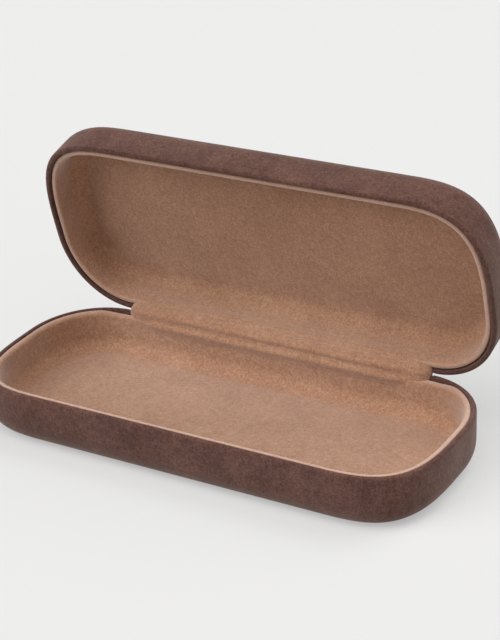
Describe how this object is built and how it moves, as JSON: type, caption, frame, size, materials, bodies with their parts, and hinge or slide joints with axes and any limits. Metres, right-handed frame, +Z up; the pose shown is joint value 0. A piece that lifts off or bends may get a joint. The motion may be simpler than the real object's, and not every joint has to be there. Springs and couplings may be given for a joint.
{
  "type": "eyeglasses case",
  "caption": "Oblong hard case for eyeglasses, open on a snap hinge along its back; brown suede outside, tan padded lining inside.",
  "frame": {"origin": "centre of the flat underside that the case rests on", "axes": "+X along the case to its right end, +Y to the back where the hinge is, +Z up; stored with the lid standing open"},
  "size_m": [0.162, 0.0834, 0.0869],
  "materials": {
    "suede_brown": "matte brown microsuede",
    "microfibre_tan": "matte tan microfibre with a short nap",
    "steel_shell": "plain pressed sheet, hidden",
    "foam_grey": "thin closed-cell foam, hidden",
    "hinge_steel": "nickel-plated, satin",
    "spring_steel": "blued spring steel and ground pin wire"
  },
  "bodies": {
    "base": {"base_cover": "suede_brown", "base_lining": "microfibre_tan", "base_padding": "foam_grey", "base_rivet_1": "hinge_steel", "base_rivet_2": "hinge_steel", "base_rivet_3": "hinge_steel", "base_rivet_4": "hinge_steel", "base_shell": "steel_shell", "hinge_base_leaf": "hinge_steel", "hinge_lining": "microfibre_tan", "hinge_pin": "spring_steel", "hinge_spring_left": "spring_steel", "hinge_spring_right": "spring_steel", "spine_cover": "suede_brown"},
    "lid": {"hinge_lid_leaf": "hinge_steel", "lid_cover": "suede_brown", "lid_lining": "microfibre_tan", "lid_padding": "foam_grey", "lid_rivet_1": "hinge_steel", "lid_rivet_2": "hinge_steel", "lid_rivet_3": "hinge_steel", "lid_rivet_4": "hinge_steel", "lid_shell": "steel_shell"}
  },
  "joints": [
    {"name": "lid_hinge", "type": "hinge", "parent": "base", "child": "lid", "pos_m": [0, 0.0338, 0.0184], "axis": [1, 0, 0], "range_deg": [0, 75], "deforming": ["spine_cover", "hinge_lining", "hinge_spring_left", "hinge_spring_right"]}
  ]
}
